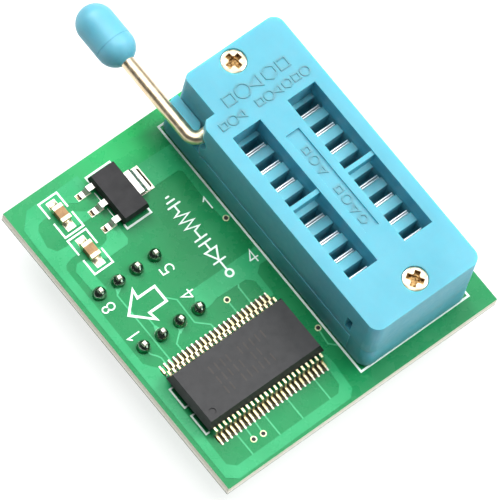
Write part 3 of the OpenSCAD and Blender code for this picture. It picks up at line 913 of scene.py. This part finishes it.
def make_plug_joints():
    """Domes of solder round the plug's pins, each a little different, and the pins' square
    tinned tips standing out of them."""
    bm = bmesh.new()
    for pin in PLUG_PINS:
        size = random.uniform(0.97, 1.0)
        add_turned(bm, middle(pin).xy, [(r * size, TOP + h) for r, h in DOME], wobble=0.1)
    joints = make_object("plug_joint_domes", bm, SOLDER, smooth=True)
    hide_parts("plug_solder_joints")
    tips = bmesh.new()
    low, high = (TOP + height for height in TIP_SPAN)
    for pin in PLUG_PINS:
        add_tip(tips, middle(pin).xy, TIP_HALF, low, high, random.uniform(-12, 12))
    make_object("plug_tail_tips", tips, TINNED)


def add_tip(bm, centre, half, low, high, turn):
    """Adds a square post with a chamfered top, turned by an angle in degrees."""
    rings = []
    for reach, height in ((half, low), (half, high - TIP_CHAMFER), (half - TIP_CHAMFER, high)):
        corners = [(reach, reach), (-reach, reach), (-reach, -reach), (reach, -reach)]
        spin = Matrix.Rotation(math.radians(turn), 2)
        rings.append([bm.verts.new((*(Vector(centre) + spin @ Vector(c)), height)) for c in corners])
    add_skin(bm, rings)


def make_via_shades():
    """Dark plugs in the vias: painted shade for the dark look of the open holes."""
    shapes = [ring((low.xy + high.xy) / 2, VIA_SHADE) for low, high in solids("via_barrels")]
    flat_piece("via_shade_plugs", shapes, UNDER - PAD_RISE, TOP + PAD_RISE, BLACK)


# ---------------------------------------------------------------- legend

# Strokes of each digit, in a box one high
DIGITS = {
    "1": [[(0.12, 0.78), (0.36, 1.0), (0.36, 0.0)]],
    "4": [[(0.46, 0.0), (0.46, 1.0), (0.0, 0.32)], [(0.0, 0.32), (0.68, 0.32)]],
    "5": [[(0.6, 1.0), (0.12, 1.0), (0.08, 0.56)] + arc((0.28, 0.31), 0.31, 125, -140)],
    "8": [arc((0.3, 0.76), 0.23, -90, 270, 18), arc((0.3, 0.27), 0.28, 90, 450, 18)],
}


def digit(name, centre, up, height=1.5):
    """A stroke digit about centre; up is the direction of its top."""
    up = Vector(up)
    right = Vector((up.y, -up.x))
    strokes = []
    for line in DIGITS[name]:
        points = [Vector(centre) + right * (x - 0.32) * height + up * (y - 0.5) * height
                  for x, y in line]
        strokes.append(stroke(points, DIGIT_LINE))
    return strokes


def part_outlines():
    """Outlines of the parts: socket, capacitors, regulator and chip."""
    shapes = []
    left, right = SOCKET_LOW.x - 0.1, SOCKET_HIGH.x + 0.04
    front, rear = SOCKET_LOW.y + 0.02, SOCKET_HIGH.y - 0.26
    edge = [(left, front), (right, front), (right, rear), (left, rear)]
    shapes.append(stroke(edge, SOCKET_LINE, closed=True))
    for name in CAPACITORS:
        centre = middle(name + "_body")
        for side in (-1, 1):
            for end in (-1, 1):
                x = centre.x + side * 1.25
                y = centre.y + end * 2.38
                corner = [(x, centre.y + end * 0.35), (x, y), (centre.x - side * 0.02, y)]
                shapes.append(stroke(corner, PART_LINE, caps=False))
    low, high = box("regulator_body")
    for end, edge_y in ((-1, low.y - 0.4), (1, high.y + 0.4)):
        shapes.append(stroke([(low.x + 0.2, edge_y - end * 0.55), (low.x + 0.2, edge_y),
                              (high.x, edge_y), (high.x, edge_y - end * 0.6)], REGULATOR_LINE))
    legs = [middle(node).y for node in REGULATOR_LEGS]
    for first, second in zip(legs, legs[1:]):
        span = sorted((first, second))
        x = low.x - 0.12
        shapes.append(stroke([(x, span[0] + 0.6), (x, span[1] - 0.6)], LEG_MARK))
    for start, end in ((-9.3, -11.9), (-13.05, -15.65)):
        shapes.append(stroke([(CHIP_LOW.x + 0.35, start), (CHIP_LOW.x - 0.1, start),
                              (CHIP_LOW.x - 0.1, end), (CHIP_LOW.x + 0.3, end)], PART_LINE))
    return shapes


def plug_marks():
    """The arrow between the plug's rows and the numbers of its end pins."""
    arrow = [(-2.8, 0.0), (-0.6, -2.1), (-0.77, -1.05), (1.6, -1.05), (1.6, 1.05), (-0.77, 1.05),
             (-0.6, 2.1)]
    shapes = [stroke(arrow, ARROW_LINE, closed=True)]
    row = middle("plug_pin_1").y
    shapes += digit("8", (-4.05, -row - 1.8), (-1, 0))
    shapes += digit("5", (3.95, -row - 2.0), (-1, 0))
    shapes += digit("4", (3.95, row + 1.95), (-1, 0))
    shapes += digit("1", (-3.85, row + 1.65), (-1, 0))
    side = SOCKET_LOW.x - 1.3
    shapes += digit("1", (side, 5.3), (0, 1))
    shapes += digit("4", (side, -2.45), (0, 1))
    return shapes


def circuit_sketch():
    """A plain row of circuit symbols along the board: ground, resistor, capacitor and diode."""
    x = 9.2
    wide = 0.78

    def bar(y, share=1.0):
        return stroke([(x - wide * share, y), (x + wide * share, y)], PART_LINE)

    def wire(start, end):
        return stroke([(x, start), (x, end)], PART_LINE)

    zigzag = [(x, 7.1), (x, 6.3)]
    zigzag += [(x + wide * (1 if k % 2 else -1), 6.05 - 0.45 * k) for k in range(6)]
    zigzag += [(x, 3.55), (x, 2.5)]
    triangle = [(x - wide, 0.8), (x + wide, 0.8), (x, -0.6)]
    ground = [bar(7.2), bar(7.8, 0.62), bar(8.4, 0.22)]
    resistor = [stroke(zigzag, PART_LINE)]
    capacitor = [bar(2.5), bar(1.85), wire(1.85, 0.8)]
    diode = [stroke(triangle, PART_LINE, closed=True), bar(-0.75), wire(-0.75, -2.0)]
    return ground + resistor + capacitor + diode + [ring((x, -2.5), 0.55, 0.3)]


def make_legend():
    """Everything that is printed on the board, in three pieces."""
    flat_piece("legend_outlines", part_outlines(), TOP - SUNK, TOP + INK_RISE, INK)
    flat_piece("legend_plug_marks", plug_marks(), TOP - SUNK, TOP + INK_RISE, INK)
    flat_piece("legend_circuit_sketch", circuit_sketch(), TOP - SUNK, TOP + INK_RISE, INK)


# ---------------------------------------------------------------- moulded and marked details

def dashes(start, step, length, count, skip=()):
    """Flat bars in a row: places from start by step, each bar lying along length."""
    bars = []
    for k in range(count):
        if k not in skip:
            place = Vector(start) + Vector(step) * k
            bars.append(stroke([place - Vector(length) / 2, place + Vector(length) / 2], MARK_LINE))
    return bars


def emblems(start, step, radius, count, skip=()):
    """Plain outlined figures in a row: square, circle, triangle and hexagon, over and over."""
    shapes = []
    for k in range(count):
        if k in skip:
            continue
        place = Vector(start) + Vector(step) * k
        corners = (4, 24, 3, 6)[k % 4]
        turns = [math.tau * (j + 0.5) / corners for j in range(corners)]
        rim = [(place.x + radius * math.cos(a), place.y + radius * math.sin(a)) for a in turns]
        shapes.append(stroke(rim, MARK_LINE, closed=True))
    return shapes


# Width of the raised and lasered lines, how far they stand proud, and the cover's recess
MARK_LINE = 0.2
EMBLEM_RISE = 0.09
BAR_RISE = 0.004
RECESS_DEPTH = 0.25


def make_cover_marks():
    """Plain raised figures where the moulding carries its marks: two rows by the rear screw and
    one down the recess between the windows."""
    centre = middle("socket_cover").x
    screw = middle("cover_screw_rear").y
    top = COVER_TOP
    rows = emblems((centre - 3.2, screw - 3.3), (1.85, 0), 0.85, 5)
    rows += emblems((centre - 5.6, screw - 5.4), (1.25, 0), 0.55, 10, skip=(3,))
    flat_piece("cover_emblems", rows, top - SUNK, top + EMBLEM_RISE, COVER)
    floor = top - RECESS_DEPTH
    figures = emblems((centre, 1.2), (0, -1.4), 0.52, 8, skip=(3,))
    flat_piece("recess_emblems", figures, floor - SUNK, floor + EMBLEM_RISE, COVER)


def make_chip_marks():
    """Faint bars, as a laser leaves them, in three rows on the wide chip."""
    top = CHIP_HIGH.z
    left = CHIP_LOW.x + 4.1
    y = middle("wide_chip_body").y
    pitch, length, row_gap = 0.8, 0.85, 1.35
    bars = []
    for row, count, gap in ((y + row_gap, 10, 4), (y, 8, 5), (y - row_gap, 9, 2)):
        bars += dashes((left, row), (pitch, 0), (0, length), count, skip=(gap,))
    flat_piece("chip_bars", bars, top - SUNK, top + BAR_RISE, LASER_MARK)


# ---------------------------------------------------------------- stage, light and camera

FLOOR_SIZE = 3000
# Colour and strength of the light from all round, and the gamma that the picture is made with
SKY = (0.88, 0.95, 0.97, 1.0)
SKY_STRENGTH = 0.08
GAMMA = 0.9
# The camera: where it stands seen from the point that it aims at, in degrees, how far it is turned
# about its own axis, its distance, its focal length and its sensor's width
AZIMUTH = -55.3
ELEVATION = 66.2
ROLL = 18.0
DISTANCE = 924
FOCAL = 615.1
SENSOR = 36
AIM = Vector((12.69, -1.71, TOP))
# Name, azimuth, elevation, distance, width and height in millimetres, and power in watts
SOFTBOXES = [
    ("tent", 160, 66, 450, (480, 480), 0.92),
    ("right", 72, 48, 450, (220, 220), 1.5),
    ("back", 176, 48, 450, (220, 220), 1.5),
    ("front", 32, 30, 450, (220, 220), 0.48),
    ("overhead", 0, 86, 520, (320, 260), 0.88),
]


def direction(azimuth, elevation):
    a, e = math.radians(azimuth), math.radians(elevation)
    return Vector((math.sin(a) * math.cos(e), -math.cos(a) * math.cos(e), math.sin(e)))


def make_camera():
    """The scene's camera, aimed at AIM from its angle and distance."""
    camera = bpy.data.objects.new("camera", bpy.data.cameras.new("camera"))
    bpy.context.scene.collection.objects.link(camera)
    camera.data.lens = FOCAL
    camera.data.sensor_width = SENSOR
    camera.data.clip_start = 0.01
    camera.data.clip_end = 10
    back = direction(AZIMUTH, ELEVATION)
    camera.location = (AIM + back * DISTANCE) * MM
    level = (-back).to_track_quat("-Z", "Y").to_matrix().to_4x4()
    turn = level @ Matrix.Rotation(math.radians(ROLL), 4, "Z")
    camera.rotation_euler = turn.to_euler()
    bpy.context.scene.camera = camera


def softbox(name, azimuth, elevation, distance, size, power):
    """A white rectangular light that looks at AIM and that the camera can't see."""
    light = bpy.data.lights.new(name, "AREA")
    light.shape = "RECTANGLE"
    light.size, light.size_y = size[0] * MM, size[1] * MM
    light.energy = power
    lamp = bpy.data.objects.new(name, light)
    bpy.context.scene.collection.objects.link(lamp)
    back = direction(azimuth, elevation)
    lamp.location = (AIM + back * distance) * MM
    lamp.rotation_euler = back.to_track_quat("Z", "Y").to_euler()
    lamp.visible_camera = False


def make_stage():
    """A wide sheet of pale paper that the object stands on. It glows a little, as paper lit from
    all round does."""
    bm = bmesh.new()
    bmesh.ops.create_grid(bm, x_segments=8, y_segments=8, size=FLOOR_SIZE / 2)
    bm.transform(Matrix.Translation((0, 0, cad_bounds[0][2] / MM)))
    bm.transform(Matrix.Scale(MM, 4))
    mesh = bpy.data.meshes.new("floor")
    bm.to_mesh(mesh)
    bm.free()
    surface = Surface("floor_paper", roughness=0.9, Specular_IOR_Level=0.1, Emission_Strength=0.8)
    surface.shader.inputs["Emission Color"].default_value = (1.0, 1.0, 1.0, 1.0)
    greys = [(0.3, srgb(140, 140, 140)), (0.7, srgb(146, 146, 146))]
    surface.paint(surface.ramp(surface.noise(60, 2), greys))
    mesh.materials.append(surface.material)
    floor = bpy.data.objects.new("floor", mesh)
    bpy.context.scene.collection.objects.link(floor)


def make_light():
    """A faint even light from all round, the softboxes, and how the picture is made of it."""
    world = bpy.data.worlds.new("studio")
    bpy.context.scene.world = world
    world.use_nodes = True
    background = world.node_tree.nodes["Background"]
    background.inputs["Color"].default_value = SKY
    background.inputs["Strength"].default_value = SKY_STRENGTH
    for settings in SOFTBOXES:
        softbox(*settings)
    bpy.context.scene.view_settings.view_transform = "Standard"
    bpy.context.scene.view_settings.gamma = GAMMA


make_camera()
make_stage()
make_light()
finish_nodes()
make_copper()
make_chip_pads()
make_tinned_pads()
make_bare_laminate()
make_pad_rings()
make_fillets()
make_regulator_leads()
make_plug_joints()
make_via_shades()
make_legend()
make_cover_marks()
make_chip_marks()
